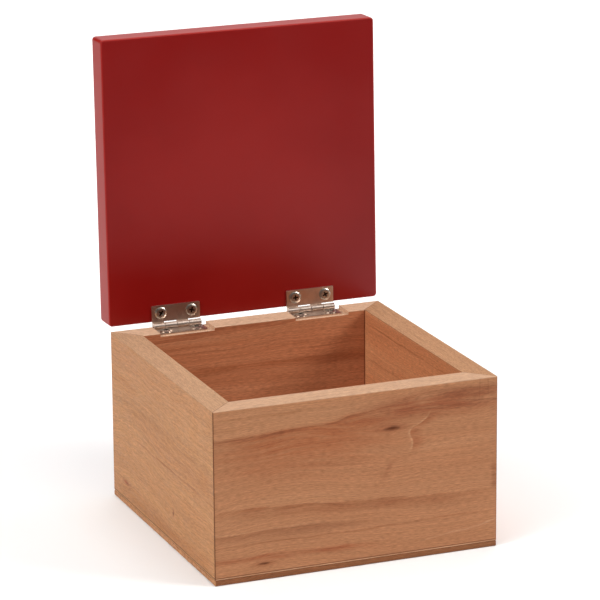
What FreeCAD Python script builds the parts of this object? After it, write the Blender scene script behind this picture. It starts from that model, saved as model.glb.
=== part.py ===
"""Square mitred wooden keeper box with a painted slab lid on two small butt hinges.

Sizes are in millimetres. The origin is the middle of the base panel's underside, +X runs to the
right along the front, +Y runs to the back and +Z runs up. The lid stands open, leaning a little
past upright, as it stays when it is let go.
"""
import FreeCAD, Part
import math
import os

# Carcass: four mitred walls on a thin base panel
box_width = 144.0
box_depth = 144.0
box_height = 85.0
wall_thickness = 12.7
base_thickness = 2.8
edge_ease = 0.4
mitre_ease = 0.5

# Brads that hold the base panel under the walls
brad_diameter = 1.2
brad_head_diameter = 2.2
brad_head_height = 0.6
brad_length = 14.0
brad_sink = 0.2
brad_clearance = 0.03
brad_place_shares = (-0.31, 0.31)

# Lid slab and the way it stands
lid_width = 144.0
lid_depth = 144.0
lid_thickness = 13.4
lid_setback = 1.85
lid_corner_radius = 1.8
lid_round = 1.1
lid_ease = 0.7
lid_open_angle = 91.4

# Butt hinges and the mortises that take them
hinge_spacing = 72.0
leaf_length = 25.4
leaf_reach = 10.2
leaf_thickness = 0.8
leaf_corner_radius = 0.5
knuckle_count = 4
knuckle_gap = 0.3
knuckle_clearance = 0.3
roll_gap = 0.2
pin_diameter = 1.5
pin_clearance = 0.05
pin_proud = 0.35
pin_chamfer = 0.25
floor_clearance = 0.15
mortise_depth = 1.75
mortise_play = 3.2
mortise_end_gap = 0.6
tongue_sink_share = 0.07

# Cross-recess wood screws, two to a leaf
screw_spacing = 16.2
screw_setback = 6.4
screw_length = 9.5
screw_shank_diameter = 1.9
screw_thread_diameter = 2.3
screw_core_diameter = 1.6
screw_thread_pitch = 0.9
screw_plain_length = 2.2
screw_point_length = 2.0
screw_head_diameter = 6.0
screw_head_height = 0.8
screw_hole_clearance = 0.2
screw_pilot_clearance = 0.03
screw_tip_clearance = 0.5
recess_width = 0.75
recess_span = 3.3
recess_floor_span = 1.5
recess_depth = 0.6
head_rim_share = 0.25
head_flat_share = 0.5
screw_turn_shares = (0.10, 0.62, 0.35, 0.85, 0.48, 0.05, 0.72, 0.27)

# How far a cutting shape runs past the face that it cuts
overrun = 1.0

# Sizes that follow from the ones above
bore_radius = pin_diameter / 2 + pin_clearance
barrel_radius = bore_radius + leaf_thickness
leaf_offset = barrel_radius + floor_clearance
leaf_notch = barrel_radius + knuckle_clearance
hinge_y = box_depth / 2
hinge_z = box_height - mortise_depth + leaf_offset
mortise_floor = box_height - mortise_depth
mortise_length = leaf_length + mortise_play
mortise_centres = (-hinge_spacing / 2, hinge_spacing / 2)
hinge_shift = mortise_end_gap - mortise_play / 2
screw_places = (-screw_spacing / 2, screw_spacing / 2)
pilot_depth = screw_length + screw_tip_clearance
lid_underside = hinge_z + leaf_offset

ORIGIN = FreeCAD.Vector(0, 0, 0)
ALONG_X = FreeCAD.Vector(1, 0, 0)
ALONG_Y = FreeCAD.Vector(0, 1, 0)
ALONG_Z = FreeCAD.Vector(0, 0, 1)
HINGE_POINT = FreeCAD.Vector(0, hinge_y, hinge_z)
QUARTER_TURN = 90.0
HALF_TURN = 180.0
FULL_TURN = 360.0


def block(low, high):
    """Box between two opposite corners."""
    size = [b - a for a, b in zip(low, high)]
    return Part.makeBox(*size, FreeCAD.Vector(*low))


def rod(radius, start, end):
    """Round bar between two points."""
    path = end - start
    return Part.makeCylinder(radius, path.Length, start, path)


def prism(points, sweep):
    """Straight-sided solid: a flat outline swept along one direction."""
    outline = Part.makePolygon(points + points[:1])
    return Part.Face(outline).extrude(sweep)


def turned(profile_edges):
    """Solid of revolution about Z from the edges of a closed half profile."""
    face = Part.Face(Part.Wire(profile_edges))
    return face.revolve(ORIGIN, ALONG_Z, FULL_TURN)


def moved(shape, x, y, z):
    """Copy of a shape, shifted."""
    return shape.translated(FreeCAD.Vector(x, y, z))


def opened(shape):
    """Copy of a shape drawn with the lid shut, swung up to where the lid stands."""
    return shape.rotated(HINGE_POINT, ALONG_X, -lid_open_angle)


def wall_board(length):
    """Wall with its outer face on y = 0, eased along its edges and mitred at both ends."""
    half = length / 2
    low = base_thickness
    high = box_height
    section = [
        FreeCAD.Vector(-half, 0, low + edge_ease),
        FreeCAD.Vector(-half, edge_ease, low),
        FreeCAD.Vector(-half, wall_thickness, low),
        FreeCAD.Vector(-half, wall_thickness, high - edge_ease),
        FreeCAD.Vector(-half, wall_thickness - edge_ease, high),
        FreeCAD.Vector(-half, edge_ease, high),
        FreeCAD.Vector(-half, 0, high - edge_ease),
    ]
    board = prism(section, ALONG_X * length)
    on_mitre = mitre_ease * math.sqrt(0.5)
    plan = [
        FreeCAD.Vector(-half + mitre_ease, 0, low),
        FreeCAD.Vector(half - mitre_ease, 0, low),
        FreeCAD.Vector(half - on_mitre, on_mitre, low),
        FreeCAD.Vector(half - wall_thickness, wall_thickness, low),
        FreeCAD.Vector(-half + wall_thickness, wall_thickness, low),
        FreeCAD.Vector(-half + on_mitre, on_mitre, low),
    ]
    return board.common(prism(plan, ALONG_Z * (high - low)))


def standing_wall(length, quarter_turns, x, y):
    """Wall turned about Z to face its side of the box and set at that side."""
    board = wall_board(length).rotated(ORIGIN, ALONG_Z, quarter_turns * QUARTER_TURN)
    return moved(board, x, y, 0)


def brad_places():
    """Middle lines of the four walls, two brads to a wall, as (x, y)."""
    across_x = box_width / 2 - wall_thickness / 2
    across_y = box_depth / 2 - wall_thickness / 2
    places = []
    for share in brad_place_shares:
        along_x = share * box_width
        along_y = share * box_depth
        places += [(along_x, -across_y), (along_x, across_y), (-across_x, along_y), (across_x, along_y)]
    return places


def headed_bar(slack, foot):
    """Headed brad driven upwards at the origin from its foot; slack widens it all over."""
    shank_top = brad_sink + brad_length + slack
    head_top = brad_sink + brad_head_height + slack
    shank = rod(brad_diameter / 2 + slack, ALONG_Z * foot, ALONG_Z * shank_top)
    head = rod(brad_head_diameter / 2 + slack, ALONG_Z * foot, ALONG_Z * head_top)
    return shank.fuse(head)


def brads():
    """The brads under all four walls, their heads just below the base panel's face."""
    return [moved(headed_bar(0, brad_sink), x, y, 0) for x, y in brad_places()]


def brad_holes():
    """The holes that the brads sit in, open at the underside."""
    return [moved(headed_bar(brad_clearance, -overrun), x, y, 0) for x, y in brad_places()]


def base_board():
    """Base panel, flush with the walls, eased on every edge."""
    low = (-box_width / 2, -box_depth / 2, 0)
    high = (box_width / 2, box_depth / 2, base_thickness)
    panel = block(low, high)
    return panel.makeChamfer(edge_ease, panel.Edges)


def pilot_hole(x, y, z, direction):
    """Hole in the wood for one screw, from the leaf's seat inwards."""
    mouth = FreeCAD.Vector(x, y, z)
    radius = screw_thread_diameter / 2 + screw_pilot_clearance
    return rod(radius, mouth - direction * overrun, mouth + direction * pilot_depth)


def mortise(centre):
    """Housing for one hinge, cut right through the back wall's top edge."""
    low = (centre - mortise_length / 2, box_depth / 2 - wall_thickness - overrun, mortise_floor)
    high = (centre + mortise_length / 2, box_depth / 2 + overrun, box_height + overrun)
    return block(low, high)


def back_board():
    """Back wall with both mortises and the pilot holes in their floors."""
    board = standing_wall(box_width, 2, 0, box_depth / 2)
    for centre in mortise_centres:
        board = board.cut(mortise(centre))
        for place in screw_places:
            x = centre + hinge_shift + place
            board = board.cut(pilot_hole(x, hinge_y - screw_setback, mortise_floor, -ALONG_Z))
    return board


def lid_slab():
    """Lid drawn shut: slab with rounded corners and edges, and the pilot holes in its underside."""
    rear = hinge_y - lid_setback
    low = (-lid_width / 2, rear - lid_depth, lid_underside)
    high = (lid_width / 2, rear, lid_underside + lid_thickness)
    slab = block(low, high)
    uprights = [edge for edge in slab.Edges if edge.BoundBox.ZLength > lid_thickness / 2]
    slab = slab.makeFillet(lid_corner_radius, uprights)
    upper = [edge for edge in slab.Edges if edge.BoundBox.ZMin > lid_underside + lid_thickness / 2]
    slab = slab.makeFillet(lid_round, upper)
    lower = [edge for edge in slab.Edges if edge.BoundBox.ZMax < lid_underside + lid_ease / 2]
    slab = slab.makeFillet(lid_ease, lower)
    for centre in mortise_centres:
        for place in screw_places:
            x = centre + hinge_shift + place
            slab = slab.cut(pilot_hole(x, hinge_y - screw_setback, lid_underside, ALONG_Z))
    return slab


def leaf_plate(side):
    """Flat of a leaf with its two screw holes; side is -1 for the box leaf and 1 for the lid leaf."""
    seat = side * leaf_offset
    face = side * (leaf_offset - leaf_thickness)
    low = (-leaf_length / 2, -leaf_reach, min(seat, face))
    high = (leaf_length / 2, -leaf_notch, max(seat, face))
    plate = block(low, high)
    free_half = -(leaf_reach + leaf_notch) / 2
    upright = [edge for edge in plate.Edges if edge.BoundBox.ZLength > leaf_thickness / 2]
    corners = [edge for edge in upright if edge.BoundBox.YMax < free_half]
    plate = plate.makeFillet(leaf_corner_radius, corners)
    for place in screw_places:
        start = FreeCAD.Vector(place, -screw_setback, -leaf_offset - overrun)
        end = FreeCAD.Vector(place, -screw_setback, leaf_offset + overrun)
        plate = plate.cut(rod(screw_thread_diameter / 2 + screw_hole_clearance, start, end))
    return plate


def knuckle(start, length, side):
    """One rolled knuckle: a tongue of the leaf curls round the pin and stops just short of itself."""
    end = start + length
    seat = side * leaf_offset
    face = side * (leaf_offset - leaf_thickness)
    curl = rod(barrel_radius, ALONG_X * start, ALONG_X * end)
    sunk = side * (barrel_radius - tongue_sink_share * leaf_thickness)
    tongue = prism([
        FreeCAD.Vector(start, -leaf_notch, seat),
        FreeCAD.Vector(start, 0, sunk),
        FreeCAD.Vector(start, 0, face),
        FreeCAD.Vector(start, -leaf_notch, face),
    ], ALONG_X * length)
    slit_edge = face - side * roll_gap
    slit = block((start - overrun, -leaf_notch - overrun, min(face, slit_edge)),
                 (end + overrun, 0, max(face, slit_edge)))
    bore = rod(bore_radius, ALONG_X * (start - overrun), ALONG_X * (end + overrun))
    return curl.fuse(tongue).cut(slit).cut(bore)


def hinge_leaf(side):
    """Leaf drawn shut, with its axis on X; lid and box knuckles take turns along the pin."""
    pitch = leaf_length / knuckle_count
    first = 0 if side > 0 else 1
    leaf = leaf_plate(side)
    for index in range(first, knuckle_count, 2):
        start = -leaf_length / 2 + index * pitch + knuckle_gap / 2
        leaf = leaf.fuse(knuckle(start, pitch - knuckle_gap, side))
    return leaf.removeSplitter()


def hinge_pin():
    """Pin through all the knuckles, a little proud of both ends, with its ends broken."""
    half = leaf_length / 2 + pin_proud
    pin = rod(pin_diameter / 2, ALONG_X * -half, ALONG_X * half)
    ends = [edge for edge in pin.Edges if edge.BoundBox.XLength < pin_chamfer]
    return pin.makeChamfer(pin_chamfer, ends)


def at_hinge(shape, centre):
    """Hinge piece moved from its own axis to its place on the box."""
    return moved(shape, centre + hinge_shift, hinge_y, hinge_z)


def screw_profile():
    """Half profile of a screw: flat-crowned round head on z = 0, plain shank, thread ridges and point."""
    head = screw_head_diameter / 2
    flat = head * head_flat_share
    rim = screw_head_height * head_rim_share
    run = head - flat
    rise = screw_head_height - rim
    bend = (run * run + rise * rise) / (2 * rise)
    half_angle = math.asin(run / bend) / 2
    crown = FreeCAD.Vector(flat, 0, screw_head_height)
    shoulder = FreeCAD.Vector(head, 0, rim)
    between = FreeCAD.Vector(flat + bend * math.sin(half_angle), 0,
                             screw_head_height - bend + bend * math.cos(half_angle))
    core = screw_core_diameter / 2
    crest = screw_thread_diameter / 2
    points = [shoulder, FreeCAD.Vector(head, 0, 0)]
    points += [FreeCAD.Vector(screw_shank_diameter / 2, 0, z) for z in (0, -screw_plain_length)]
    threaded = screw_length - screw_plain_length - screw_point_length
    ridges = max(1, int(threaded / screw_thread_pitch))
    pitch = threaded / ridges
    for ridge in range(ridges):
        top = -screw_plain_length - ridge * pitch
        points.append(FreeCAD.Vector(core, 0, top))
        points.append(FreeCAD.Vector(crest, 0, top - pitch / 2))
    points.append(FreeCAD.Vector(core, 0, screw_point_length - screw_length))
    points += [FreeCAD.Vector(0, 0, z) for z in (-screw_length, screw_head_height)]
    points.append(crown)
    lines = [Part.LineSegment(a, b).toShape() for a, b in zip(points, points[1:])]
    return [Part.Arc(crown, between, shoulder).toShape()] + lines


def cross_recess():
    """Two crossed slots that taper towards the bottom of the recess."""
    top = screw_head_height + overrun
    mouth = screw_head_height
    floor = screw_head_height - recess_depth
    outline = [
        FreeCAD.Vector(-recess_span / 2, -recess_width / 2, top),
        FreeCAD.Vector(recess_span / 2, -recess_width / 2, top),
        FreeCAD.Vector(recess_span / 2, -recess_width / 2, mouth),
        FreeCAD.Vector(recess_floor_span / 2, -recess_width / 2, floor),
        FreeCAD.Vector(-recess_floor_span / 2, -recess_width / 2, floor),
        FreeCAD.Vector(-recess_span / 2, -recess_width / 2, mouth),
    ]
    slot = prism(outline, ALONG_Y * recess_width)
    return slot.fuse(slot.rotated(ORIGIN, ALONG_Z, QUARTER_TURN))


def screw(turn_share):
    """Screw with its head's underside on z = 0, turned about its own axis."""
    made = turned(screw_profile()).cut(cross_recess())
    return made.rotated(ORIGIN, ALONG_Z, turn_share * QUARTER_TURN)


def seated_screw(centre, place, side, turn_share):
    """Screw through a leaf into the wood behind it, drawn with the lid shut."""
    made = screw(turn_share)
    if side > 0:
        made = made.rotated(ORIGIN, ALONG_X, HALF_TURN)
    face = hinge_z + side * (leaf_offset - leaf_thickness)
    return moved(made, centre + hinge_shift + place, hinge_y - screw_setback, face)


def carcass_pieces():
    """Walls, base panel and brads by node name."""
    holes = brad_holes()
    boards = {
        "front_wall": standing_wall(box_width, 0, 0, -box_depth / 2),
        "right_wall": standing_wall(box_depth, 1, box_width / 2, 0),
        "back_wall": back_board(),
        "left_wall": standing_wall(box_depth, 3, -box_width / 2, 0),
        "base_panel": base_board(),
    }
    pieces = {name: board.cut(holes) for name, board in boards.items()}
    pieces["base_brads"] = Part.makeCompound(brads())
    return pieces


def hinge_pieces():
    """Leaves, pins and screws of both hinges by node name."""
    pieces = {}
    turn_shares = iter(screw_turn_shares)
    for name, centre in zip(("left", "right"), mortise_centres):
        pieces[name + "_hinge_box_leaf"] = at_hinge(hinge_leaf(-1), centre)
        pieces[name + "_hinge_lid_leaf"] = opened(at_hinge(hinge_leaf(1), centre))
        pieces[name + "_hinge_pin"] = at_hinge(hinge_pin(), centre)
        for end, place in zip(("left", "right"), screw_places):
            box_screw = seated_screw(centre, place, -1, next(turn_shares))
            lid_screw = opened(seated_screw(centre, place, 1, next(turn_shares)))
            pieces[name + "_hinge_box_screw_" + end] = box_screw
            pieces[name + "_hinge_lid_screw_" + end] = lid_screw
    return pieces


def main():
    """Build every piece and write each to its own file."""
    os.makedirs("parts", exist_ok=True)
    pieces = {**carcass_pieces(), "lid_panel": opened(lid_slab()), **hinge_pieces()}
    for name, shape in pieces.items():
        shape.exportStep(os.path.join("parts", name + ".step"))
        print(name, len(shape.Solids), "solids, valid:", shape.isValid(), round(shape.Volume, 3), "mm3")


main()
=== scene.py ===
"""Looks of a square mitred keeper box with a red slab lid on two small butt hinges.

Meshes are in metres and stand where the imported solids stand. Sizes in the classes are in
millimetres. The lid is drawn open, leaning a little past upright, as it rests.
"""

import logging
import math
from collections.abc import Sequence
from dataclasses import dataclass, field
from enum import Enum

import bmesh
import bpy
from bmesh.types import BMEdge, BMesh
from bpy.types import Material, Node, NodeSocket, NodeTree, Object
from mathutils import Matrix, Vector


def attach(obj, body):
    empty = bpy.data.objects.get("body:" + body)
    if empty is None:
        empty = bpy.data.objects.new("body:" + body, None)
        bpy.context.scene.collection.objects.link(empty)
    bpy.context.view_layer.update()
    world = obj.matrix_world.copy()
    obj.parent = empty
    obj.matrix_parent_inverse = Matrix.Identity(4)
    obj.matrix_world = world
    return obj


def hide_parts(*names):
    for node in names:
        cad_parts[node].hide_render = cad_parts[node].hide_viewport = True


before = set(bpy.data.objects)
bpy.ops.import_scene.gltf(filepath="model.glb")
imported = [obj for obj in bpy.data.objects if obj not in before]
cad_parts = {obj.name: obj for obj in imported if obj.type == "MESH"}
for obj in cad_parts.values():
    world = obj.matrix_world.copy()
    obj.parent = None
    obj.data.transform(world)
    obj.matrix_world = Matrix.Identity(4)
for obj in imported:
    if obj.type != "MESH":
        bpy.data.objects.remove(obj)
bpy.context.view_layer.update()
log = logging.getLogger("keeper_box")

MM = 0.001
BOARD_CREASE = math.radians(40)
FASTENER_CREASE = math.radians(32)
Point = tuple[float, float]
Size = tuple[float, float, float]
Value = Node | NodeSocket
Wires = dict[str | int, object]


class Grain(Enum):
    """Turn about Z, in degrees, that lays a board's grain along the pattern's first axis."""

    ALONG_X = 0.0
    ALONG_Y = 90.0


class Body(Enum):
    """The two bodies that pieces ride on."""

    BOX = "box"
    LID = "lid"


class Slot(Enum):
    """Material slots of the record."""

    ALDER = "alder"
    PAINT = "red_paint"
    NICKEL = "nickel_plate"
    ZINC = "zinc_screw"
    BRAD = "brad_steel"


def linear(hex_colour: str) -> tuple[float, float, float, float]:
    """Turns an sRGB hex colour into linear light.

    Args:
        hex_colour: hash sign and six hex digits.

    Returns:
        Red, green, blue and alpha.
    """
    channels = [int(hex_colour[i:i + 2], 16) / 255 for i in (1, 3, 5)]
    lit = [c / 12.92 if c <= 0.04045 else ((c + 0.055) / 1.055) ** 2.4 for c in channels]
    return (*lit, 1.0)


def add(tree: NodeTree, kind: str, wires: Wires | None = None, **settings: object) -> Node:
    """Adds one node with its settings and links.

    Args:
        tree: the tree that takes the node.
        kind: Blender's name for the node type.
        wires: for each input, by name or number, a plain value, a socket, a node whose first
            output in use is meant, or a list of these.
        settings: properties of the node; points fill a curve.

    Returns:
        The new node.
    """
    made = tree.nodes.new(kind)
    points = settings.pop("points", ())
    for index, (x, y) in enumerate(points):
        curve = made.mapping.curves[0].points
        handle = curve[index] if index < 2 else curve.new(x, y)
        handle.location = (x, y)
    if points:
        made.mapping.update()
    for name, value in settings.items():
        setattr(made, name, value)
    for name, value in (wires or {}).items():
        for item in value if isinstance(value, list) else [value]:
            if isinstance(item, Node):
                item = next(socket for socket in item.outputs if socket.enabled)
            if isinstance(item, NodeSocket):
                tree.links.new(item, made.inputs[name])
            else:
                made.inputs[name].default_value = item
    return made


def start_material(name: str) -> tuple[Material, NodeTree, Node]:
    """Starts a node material with a surface shader.

    Args:
        name: the material's name.

    Returns:
        The material, its tree and its shader.
    """
    made = bpy.data.materials.new(name)
    made.use_nodes = True
    tree = made.node_tree
    tree.nodes.clear()
    shader = add(tree, "ShaderNodeBsdfPrincipled")
    add(tree, "ShaderNodeOutputMaterial", {"Surface": shader})
    return made, tree, shader


@dataclass(frozen=True)
class Patches:
    """Cloudy patches of one real size that vary a surface.

    Attributes:
        cells: length of a patch along each axis, in millimetres.
        edge: levels of the cloud at which a patch begins and is full.
        gives: values outside a patch and in it.
        detail: finer layers within the patches.
    """

    cells: Size
    edge: Point = (0.3, 0.7)
    gives: Point = (0.0, 1.0)
    detail: float = 2.0

    def spread(self, tree: NodeTree, where: Value) -> Node:
        """Spreads the patches over a surface.

        Args:
            tree: the tree that takes the nodes.
            where: position in millimetres.

        Returns:
            The value at each point.
        """
        share = tuple(1 / cell for cell in self.cells)
        scaled = add(tree, "ShaderNodeVectorMath", {0: where, 1: share}, operation="MULTIPLY")
        cloud = add(tree, "ShaderNodeTexNoise", {"Vector": scaled, "Scale": 1.0, "Detail": self.detail})
        wires = {"Value": cloud, "From Min": self.edge[0], "From Max": self.edge[1],
                 "To Min": self.gives[0], "To Max": self.gives[1]}
        return add(tree, "ShaderNodeMapRange", wires, interpolation_type="SMOOTHSTEP")


@dataclass(frozen=True)
class Streak:
    """A line or band on one board: most lie in its grain, and a few are painted highlights along an edge.

    Attributes:
        path: points in millimetres, along the board and up it, or up and along if upright.
        reach: how far the tint runs past the line to each side, over then under.
        tint: its colour.
        strength: how much of the tint shows.
        upright: the line runs up the board instead of along it.
        fade: share of the length over which each end dies out.
    """

    path: tuple[Point, ...]
    reach: Point
    tint: str
    strength: float
    upright: bool = False
    fade: float = 0.15

    def share(self, tree: NodeTree, along: Value, up: Value) -> Node:
        """Where the streak shows.

        Args:
            tree: the tree that takes the nodes.
            along: place along the board in millimetres.
            up: height on the board in millimetres.

        Returns:
            The tint's share at each point.
        """
        run, cross = (up, along) if self.upright else (along, up)
        start, end = self.path[0][0], self.path[-1][0]
        low = min(y for _, y in self.path)
        span = max(max(y for _, y in self.path) - low, 1.0)
        points = [((x - start) / (end - start), (y - low) / span) for x, y in self.path]
        place = add(tree, "ShaderNodeMapRange", {"Value": run, "From Min": start, "From Max": end})
        line = add(tree, "ShaderNodeFloatCurve", {"Value": place}, points=points)
        level = add(tree, "ShaderNodeMath", {0: line, 1: span, 2: low}, operation="MULTIPLY_ADD")
        past = add(tree, "ShaderNodeMath", {0: cross, 1: level}, operation="SUBTRACT")
        fade = self.fade * (end - start)
        shown = self.strength
        for value, none_at, full_at in ((past, self.reach[0], 0.0), (past, -self.reach[1], 0.0),
                                        (run, start, start + fade), (run, end, end - fade)):
            wires = {"Value": value, "From Min": none_at, "From Max": full_at}
            side = add(tree, "ShaderNodeMapRange", wires, interpolation_type="SMOOTHSTEP")
            shown = add(tree, "ShaderNodeMath", {0: side, 1: shown}, operation="MULTIPLY")
        return shown


@dataclass(frozen=True)
class Knot:
    """A small spindle-shaped knot or bark pocket.

    Attributes:
        along: its middle along the board, in millimetres.
        up: its middle up the board, in millimetres.
        length: its length along the grain.
        width: its width across the grain.
        strength: how dark it is.
        heart: colour of its middle.
        halo: colour of the stained wood round it.
        parting: how far the grain parts round it, as a share.
        parted: distance, in sizes of the knot, at which the grain runs straight again.
    """

    along: float
    up: float
    length: float
    width: float
    strength: float
    heart: str = "#643013"
    halo: str = "#8D4526"
    parting: float = 0.6
    parted: float = 4.0

    def distance(self, tree: NodeTree, along: Value, up: Value) -> Node:
        """Distance from the middle, 1 at the knot's outline.

        Args:
            tree: the tree that takes the nodes.
            along: place along the board in millimetres.
            up: height on the board in millimetres.

        Returns:
            The distance.
        """
        place = add(tree, "ShaderNodeCombineXYZ", {0: along, 1: up})
        middle = (self.along, self.up, 0.0)
        aside = add(tree, "ShaderNodeVectorMath", {0: place, 1: middle}, operation="SUBTRACT")
        share = (2 / self.length, 2 / self.width, 0.0)
        scaled = add(tree, "ShaderNodeVectorMath", {0: aside, 1: share}, operation="MULTIPLY")
        return add(tree, "ShaderNodeVectorMath", {0: scaled}, operation="LENGTH")

    def rings(self, tree: NodeTree, along: Value, up: Value) -> list[tuple[Node, str]]:
        """Halo and dark heart of the knot.

        Args:
            tree: the tree that takes the nodes.
            along: place along the board in millimetres.
            up: height on the board in millimetres.

        Returns:
            Share and tint of each.
        """
        distance = self.distance(tree, along, up)
        layers = []
        for inner, outer, most, tint in ((0.6, 2.6, 0.4, self.halo), (0.2, 1.15, 1.0, self.heart)):
            wires = {"Value": distance, "From Min": inner, "From Max": outer,
                     "To Min": most * self.strength, "To Max": 0.0}
            layers.append((add(tree, "ShaderNodeMapRange", wires, interpolation_type="SMOOTHSTEP"), tint))
        return layers


# Patterns of the wood, in millimetres along the board, into it and up it. Real fibres are about
# 0.03 mm wide and pores 0.08 mm; both are drawn coarser so that they show.
STRANDS = Patches((60.0, 0.7, 0.7), gives=(0.91, 1.09), detail=3.0)
HAIRS = Patches((3.0, 0.3, 0.3), gives=(0.83, 1.17))
PORES = Patches((3.0, 0.4, 0.4), (0.58, 0.78), (0.0, 0.25), 1.0)
OIL_SHEEN = Patches((12.0, 2.0, 2.0), gives=(0.45, 0.55), detail=3.0)
WAVER = Patches((110.0, 70.0, 50.0), gives=(-3.0, 3.0))
RIPPLE = Patches((26.0, 14.0, 10.0), gives=(-0.3, 0.3))
RING_DRIFT = Patches((170.0, 24.0, 15.0), gives=(0.0, 2.2), detail=1.0)
# Single marks keep to the fibres, so their edges are ragged and their colour is uneven.
RAGGED = Patches((20.0, 5.0, 4.0), gives=(-0.5, 0.5), detail=4.0)
UNEVEN = Patches((20.0, 2.0, 2.0), (0.3, 0.65), (0.45, 1.1), 4.0)


@dataclass(frozen=True)
class OiledAlder:
    """Alder boards, planed, sanded and wiped with oil.

    Attributes:
        name: the material's name.
        grain: which way the board runs.
        log_place: what part of the log the board shows, in millimetres.
        pale: ground colour between bands.
        warm: colour of the redder bands.
        bands: how strong the soft bands are.
        lines: how strong the growth lines are.
        tone_and_painted_light: how light this board is against the others, in red, green and blue; on the
            right and back boards it is raised as painted light, so that their inner faces look as lit as the
            inside of the box.
        line_tint: colour of the growth lines.
        line_spacing: how far apart they are, in millimetres.
        pore_tint: colour of the pores.
        glue: how strong the glue lines at its joints are.
        glue_tint: colour of the glue lines.
        glue_reach: how far they run to each side, on the faces and on the top edge.
        glue_core: how far to each side they are darkest.
        joint_height: height of the thin dark line drawn just above the base in the glue lines' colour.
        ragged_from: heights at which the edges of marks begin to be ragged and are fully so.
        top_height: height of the top edge.
        top_fade: how far below the top edge its colour begins and is full.
        top_highlight_and_fresh_tint: paler colour of the top edge, a painted highlight for the light and
            sheen that fall on it, and the fresh wood of the hinge cuts' floors and ends.
        top_highlight_and_fresh_share: how much of that colour shows.
        top_dull: how much rougher the top edge is.
        cut_depth: depth of the hinge cuts in its top edge.
        relief: depth of the fibre, in millimetres.
        relief_share: how much of that depth shows.
        ior: refraction of the oil.
        specular: strength of its reflection, which thin oil in open fibre weakens.
        knots: its knots.
        streaks: its single lines and bands.
    """

    name: str
    grain: Grain
    log_place: Size
    pale: str = "#C2875F"
    warm: str = "#B16B44"
    bands: float = 0.6
    lines: float = 0.3
    tone_and_painted_light: Size = (1.0, 1.0, 1.0)
    line_tint: str = "#85482B"
    line_spacing: float = 6.0
    pore_tint: str = "#744027"
    glue: float = 0.75
    glue_tint: str = "#5E2B0F"
    glue_reach: Point = (0.7, 0.25)
    glue_core: float = 0.05
    joint_height: float = 3.7
    ragged_from: Point = (4.0, 9.0)
    top_height: float = 85.0
    top_fade: Point = (0.6, 0.1)
    top_highlight_and_fresh_tint: str = "#E7BF9A"
    top_highlight_and_fresh_share: float = 0.75
    top_dull: float = 0.5
    cut_depth: float = 0.0
    relief: float = 0.06
    relief_share: float = 0.3
    ior: float = 1.45
    specular: float = 0.2
    knots: tuple[Knot, ...] = ()
    streaks: tuple[Streak, ...] = ()

    def material(self) -> Material:
        """Builds the wood's node material.

        Returns:
            The material.
        """
        # Sanded and oiled alder: a warm tan ground in soft long bands, faint growth lines, fine
        # straight fibre, short darker pore flecks, and a low sheen that shows at a flat angle.
        made, tree, shader = start_material(self.name)
        spot = add(tree, "ShaderNodeTexCoord").outputs
        turn = (0.0, 0.0, math.radians(self.grain.value))
        board = add(tree, "ShaderNodeMapping", {0: spot["Object"], "Rotation": turn, "Scale": (1 / MM,) * 3})
        place = add(tree, "ShaderNodeSeparateXYZ", {0: board}).outputs
        where = self.in_log(tree, board, place)
        strands, hairs, pores, oiled = (
            pattern.spread(tree, where) for pattern in (STRANDS, HAIRS, PORES, OIL_SHEEN))
        fibre = add(tree, "ShaderNodeMath", {0: strands, 1: hairs}, operation="MULTIPLY")
        # Painted highlight: the top edge takes a paler colour for the light and sheen that fall on it; the
        # hinge cuts take it as fresh wood.
        top = self.fresh_wood_and_top_highlight(tree, place[2], spot["Normal"])
        layers = [*self.figure(tree, where), *self.marks(tree, where, place), (top, self.top_highlight_and_fresh_tint),
                  (pores, self.pore_tint), (self.glue_line(tree, board, place[2]), self.glue_tint)]
        colour = linear(self.pale)
        for share, tint in layers:
            colour = add(tree, "ShaderNodeMix", {0: share, 6: colour, 7: linear(tint)}, data_type="RGBA")
        # The tone carries painted light on the right and back boards.
        toned = add(tree, "ShaderNodeVectorMath", {0: colour, 1: self.tone_and_painted_light}, operation="MULTIPLY")
        shaded = add(tree, "ShaderNodeVectorMath", {0: toned, "Scale": fibre}, operation="SCALE")
        sheen = add(tree, "ShaderNodeMath", {0: top, 1: self.top_dull, 2: oiled}, operation="MULTIPLY_ADD")
        raised = add(tree, "ShaderNodeMath", {0: fibre, 1: pores}, operation="SUBTRACT")
        wires = {"Strength": self.relief_share, "Distance": self.relief * MM, "Height": raised}
        bump = add(tree, "ShaderNodeBump", wires)
        for name, value in (("Base Color", shaded), ("Roughness", sheen), ("Normal", bump)):
            tree.links.new(value.outputs[0], shader.inputs[name])
        shader.inputs["IOR"].default_value = self.ior
        shader.inputs["Specular IOR Level"].default_value = self.specular
        return made

    def marks(self, tree: NodeTree, where: Value, place: Sequence[Value]) -> list[tuple[Node, str]]:
        """The board's streaks, some of them painted highlights, and its knots.

        Args:
            tree: the tree that takes the nodes.
            where: position in the log in millimetres.
            place: position on the board as three values: along, deep and up.

        Returns:
            Share and tint of each layer.
        """
        along, _, up = place
        low, high = self.ragged_from
        above = add(tree, "ShaderNodeMapRange", {"Value": up, "From Min": low, "From Max": high})
        wires = {0: RAGGED.spread(tree, where), 1: above, 2: up}
        height = add(tree, "ShaderNodeMath", wires, operation="MULTIPLY_ADD")
        uneven = UNEVEN.spread(tree, where)
        layers = []
        for streak in self.streaks:
            wires = {0: streak.share(tree, along, height), 1: uneven}
            layers.append((add(tree, "ShaderNodeMath", wires, operation="MULTIPLY"), streak.tint))
        for knot in self.knots:
            layers += knot.rings(tree, along, up)
        return layers

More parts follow.
